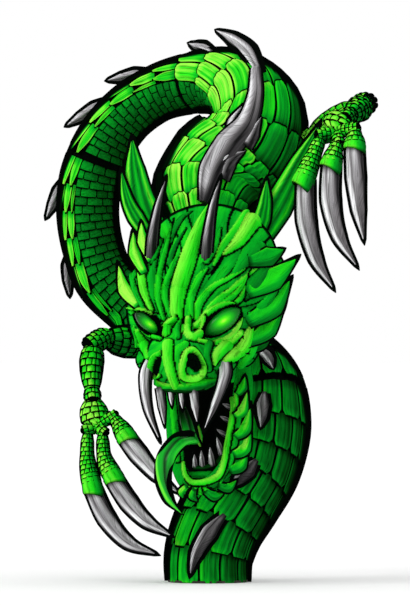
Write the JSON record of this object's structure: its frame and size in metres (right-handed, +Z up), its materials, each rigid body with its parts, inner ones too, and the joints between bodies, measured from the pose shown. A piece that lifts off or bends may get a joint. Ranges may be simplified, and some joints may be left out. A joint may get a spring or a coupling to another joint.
{
  "type": "dragon show kite",
  "caption": "Standing dragon show kite: hinged hollow scaled body that loops behind the head, with a moving jaw, tongue, ears, clawed arms and fingers.",
  "frame": {"origin": "centre of the flat face under the tail's end, on which the figure stands", "axes": "+Z up, -Y towards the viewer of the face, +X to the viewer's right"},
  "size_m": [0.8311, 0.822, 1.3883],
  "materials": {
    "scale_cloth": "printed ripstop, satin",
    "head_cloth": "printed ripstop, satin",
    "limb_cloth": "printed ripstop, satin",
    "tongue_cloth": "printed ripstop, satin",
    "horn_cloth": "printed ripstop, satin",
    "eye_plastic": "gloss",
    "frame_rod": "semi-gloss composite rod",
    "pin_steel": "brushed",
    "foot_board": "black stained"
  },
  "bodies": {
    "tail": {"tail_skin": "scale_cloth", "tail_frame": "frame_rod", "tail_hinge_pin": "pin_steel", "foot_plate": "foot_board", "tail_fin_1": "horn_cloth", "tail_fin_2": "horn_cloth", "tail_fin_3": "horn_cloth"},
    "chest": {"chest_skin": "scale_cloth", "chest_frame": "frame_rod", "chest_hinge_pin": "pin_steel", "chest_fin": "horn_cloth"},
    "loop": {"loop_skin": "scale_cloth", "loop_frame": "frame_rod", "loop_hinge_pin": "pin_steel", "loop_fin_1": "horn_cloth", "loop_fin_2": "horn_cloth"},
    "arch": {"arch_skin": "scale_cloth", "arch_frame": "frame_rod", "arch_hinge_pin": "pin_steel", "arch_fin_1": "horn_cloth", "arch_fin_2": "horn_cloth"},
    "neck": {"neck_skin": "scale_cloth", "neck_frame": "frame_rod", "neck_hinge_pin": "pin_steel", "neck_fin": "horn_cloth", "crown_fin": "horn_cloth", "neck_ridge": "horn_cloth"},
    "head": {"skull": "head_cloth", "jaw_pin": "pin_steel", "left_eye": "eye_plastic", "right_eye": "eye_plastic", "left_horn": "horn_cloth", "right_horn": "horn_cloth", "left_fang": "horn_cloth", "right_fang": "horn_cloth", "upper_teeth": "horn_cloth"},
    "jaw": {"lower_jaw": "head_cloth", "lower_teeth": "horn_cloth"},
    "tongue": {"tongue": "tongue_cloth"},
    "left_ear": {"left_ear": "head_cloth"},
    "right_ear": {"right_ear": "head_cloth"},
    "tow_ring": {"tow_ring": "pin_steel"},
    "left_upper_arm": {"left_upper_arm": "limb_cloth"},
    "left_forearm": {"left_forearm": "limb_cloth"},
    "left_hand": {"left_palm": "limb_cloth"},
    "left_finger_1": {"left_finger_1": "limb_cloth", "left_claw_1": "horn_cloth"},
    "left_finger_2": {"left_finger_2": "limb_cloth", "left_claw_2": "horn_cloth"},
    "left_finger_3": {"left_finger_3": "limb_cloth", "left_claw_3": "horn_cloth"},
    "right_upper_arm": {"right_upper_arm": "limb_cloth"},
    "right_forearm": {"right_forearm": "limb_cloth"},
    "right_hand": {"right_palm": "limb_cloth"},
    "right_finger_1": {"right_finger_1": "limb_cloth", "right_claw_1": "horn_cloth"},
    "right_finger_2": {"right_finger_2": "limb_cloth", "right_claw_2": "horn_cloth"},
    "right_finger_3": {"right_finger_3": "limb_cloth", "right_claw_3": "horn_cloth"}
  },
  "joints": [
    {"name": "tail_bend", "type": "hinge", "parent": "tail", "child": "chest", "pos_m": [0.13106, 0.14774, 0.46813], "axis": [-0.9692, -0.2072, -0.133], "range_deg": [-5, 4]},
    {"name": "chest_bend", "type": "hinge", "parent": "chest", "child": "loop", "pos_m": [-0.16162, 0.30894, 0.665], "axis": [0.5142, 0.626, 0.5863], "range_deg": [-4, 4]},
    {"name": "loop_bend", "type": "hinge", "parent": "loop", "child": "arch", "pos_m": [-0.2825, 0.29569, 1.06275], "axis": [0.3989, 0.9129, -0.087], "range_deg": [-5, 5]},
    {"name": "arch_bend", "type": "hinge", "parent": "arch", "child": "neck", "pos_m": [-0.045, 0.239, 1.254], "axis": [0.482, 0.8585, -0.1752], "range_deg": [-4, 4]},
    {"name": "head_nod", "type": "hinge", "parent": "neck", "child": "head", "pos_m": [-0.0097, -0.09795, 0.84177], "axis": [0.9915, -0.1296, 0.0086], "range_deg": [-5, 5]},
    {"name": "jaw_hinge", "type": "hinge", "parent": "head", "child": "jaw", "pos_m": [0, -0.096, 0.6], "axis": [-1, 0, 0], "range_deg": [0, 8]},
    {"name": "tongue_swing", "type": "hinge", "parent": "jaw", "child": "tongue", "pos_m": [-0.07, -0.118, 0.452], "axis": [-1, 0, 0], "range_deg": [-6, 2]},
    {"name": "left_ear_flap", "type": "hinge", "parent": "head", "child": "left_ear", "pos_m": [-0.112, -0.13, 0.838], "axis": [0, -1, 0], "range_deg": [-8, 8]},
    {"name": "right_ear_flap", "type": "hinge", "parent": "head", "child": "right_ear", "pos_m": [0.116, -0.12, 0.84], "axis": [0, -1, 0], "range_deg": [-8, 8]},
    {"name": "left_shoulder", "type": "hinge", "parent": "chest", "child": "left_upper_arm", "pos_m": [-0.126, 0.222, 0.598], "axis": [-0.6545, 0.7561, 0], "range_deg": [-4, 6]},
    {"name": "left_elbow", "type": "hinge", "parent": "left_upper_arm", "child": "left_forearm", "pos_m": [-0.2765, 0.092, 0.602], "axis": [0.5643, -0.7759, 0.2821], "range_deg": [-8, 5]},
    {"name": "left_wrist", "type": "hinge", "parent": "left_forearm", "child": "left_hand", "pos_m": [-0.2895, 0.034, 0.466], "axis": [1, 0, 0], "range_deg": [-10, 8]},
    {"name": "left_finger_1_curl", "type": "hinge", "parent": "left_hand", "child": "left_finger_1", "pos_m": [-0.29995, -0.00738, 0.38595], "axis": [1, 0, 0], "range_deg": [-8, 8]},
    {"name": "left_finger_2_curl", "type": "hinge", "parent": "left_hand", "child": "left_finger_2", "pos_m": [-0.26434, -0.01309, 0.38188], "axis": [1, 0, 0], "range_deg": [-8, 8]},
    {"name": "left_finger_3_curl", "type": "hinge", "parent": "left_hand", "child": "left_finger_3", "pos_m": [-0.24227, -0.00823, 0.41678], "axis": [0.9285, 0, 0.3714], "range_deg": [-8, 8]},
    {"name": "right_shoulder", "type": "hinge", "parent": "neck", "child": "right_upper_arm", "pos_m": [0.252, 0.087, 1.106], "axis": [0.1122, -0.9937, 0], "range_deg": [-5, 5]},
    {"name": "right_elbow", "type": "hinge", "parent": "right_upper_arm", "child": "right_forearm", "pos_m": [0.391, 0.092, 1.197], "axis": [0.562, 0.032, -0.8265], "range_deg": [-10, 2]},
    {"name": "right_wrist", "type": "hinge", "parent": "right_forearm", "child": "right_hand", "pos_m": [0.3475, -0.05, 1.161], "axis": [0.9578, 0, 0.2873], "range_deg": [-8, 8]},
    {"name": "right_finger_1_curl", "type": "hinge", "parent": "right_hand", "child": "right_finger_1", "pos_m": [0.28338, -0.10912, 1.11965], "axis": [1, 0, 0], "range_deg": [-8, 8]},
    {"name": "right_finger_2_curl", "type": "hinge", "parent": "right_hand", "child": "right_finger_2", "pos_m": [0.32522, -0.1203, 1.10341], "axis": [1, 0, 0], "range_deg": [-8, 8]},
    {"name": "right_finger_3_curl", "type": "hinge", "parent": "right_hand", "child": "right_finger_3", "pos_m": [0.36164, -0.11622, 1.13356], "axis": [1, 0, 0], "range_deg": [-8, 6]},
    {"name": "tow_ring_swing", "type": "hinge", "parent": "chest", "child": "tow_ring", "pos_m": [-0.022, 0.408, 0.596], "axis": [1, 0, 0], "range_deg": [-40, 60]}
  ]
}
